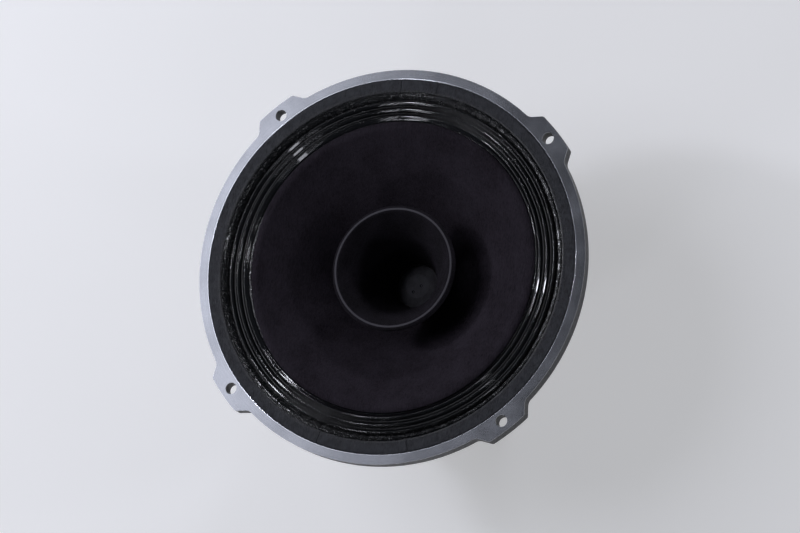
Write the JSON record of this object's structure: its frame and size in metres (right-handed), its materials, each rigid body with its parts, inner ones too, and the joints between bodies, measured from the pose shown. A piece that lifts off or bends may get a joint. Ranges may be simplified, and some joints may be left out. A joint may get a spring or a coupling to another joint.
{
  "type": "bi-cone speaker driver",
  "caption": "Round full-range loudspeaker driver with a main cone, a small whizzer cone and dust dome, corrugated surround, eared cast frame and ring magnet.",
  "frame": {"origin": "centre of the circle of four mounting holes, on the machined front face of the flange", "axes": "+Z along the driver's axis, forwards out of the cone; +X and +Y lie halfway between the mounting ears, and the terminals are on the -Y side"},
  "size_m": [0.205, 0.205, 0.094],
  "materials": {
    "cast_frame": "black paint outside, front face machined bare",
    "gasket_felt": "matte",
    "doped_cloth": "glossy doping",
    "cone_paper": "matte fibrous",
    "whizzer_paper": "matte",
    "dome_paper": "matte",
    "former_card": "matte",
    "copper_wire": "enamelled",
    "spider_cloth": "stiffened cloth",
    "fibre_board": "matte",
    "plated_steel": "zinc plated",
    "ferrite": "ground ferrite",
    "mesh_steel": "satin",
    "screw_steel": "zinc plated",
    "phenolic_board": "satin",
    "rivet_alloy": "satin",
    "tinned_brass": "tinned",
    "copper_braid": "braided",
    "solder": "bright"
  },
  "bodies": {
    "chassis": {"basket": "cast_frame", "front_gasket": "gasket_felt", "surround": "doped_cloth", "spider": "spider_cloth", "spider_ring": "fibre_board", "top_plate": "plated_steel", "magnet_ring": "ferrite", "back_plate": "plated_steel", "pole_piece": "plated_steel", "vent_mesh": "mesh_steel", "motor_screws": "screw_steel", "motor_washers": "screw_steel", "terminal_board": "phenolic_board", "terminal_rivets": "rivet_alloy", "positive_tag": "tinned_brass", "negative_tag": "tinned_brass", "tag_rivets": "tinned_brass", "positive_lead": "copper_braid", "negative_lead": "copper_braid"},
    "diaphragm": {"main_cone": "cone_paper", "whizzer_cone": "whizzer_paper", "dust_cap": "dome_paper", "voice_coil_former": "former_card", "voice_coil_winding": "copper_wire", "lead_joints": "solder", "coil_tails": "copper_wire"}
  },
  "joints": [
    {"name": "cone_travel", "type": "slide", "parent": "chassis", "child": "diaphragm", "axis": [0, 0, 1], "range_m": [-0.003, 0.003], "stiffness_N_per_m": 1800, "deforming": ["surround", "spider", "positive_lead", "negative_lead"]}
  ]
}
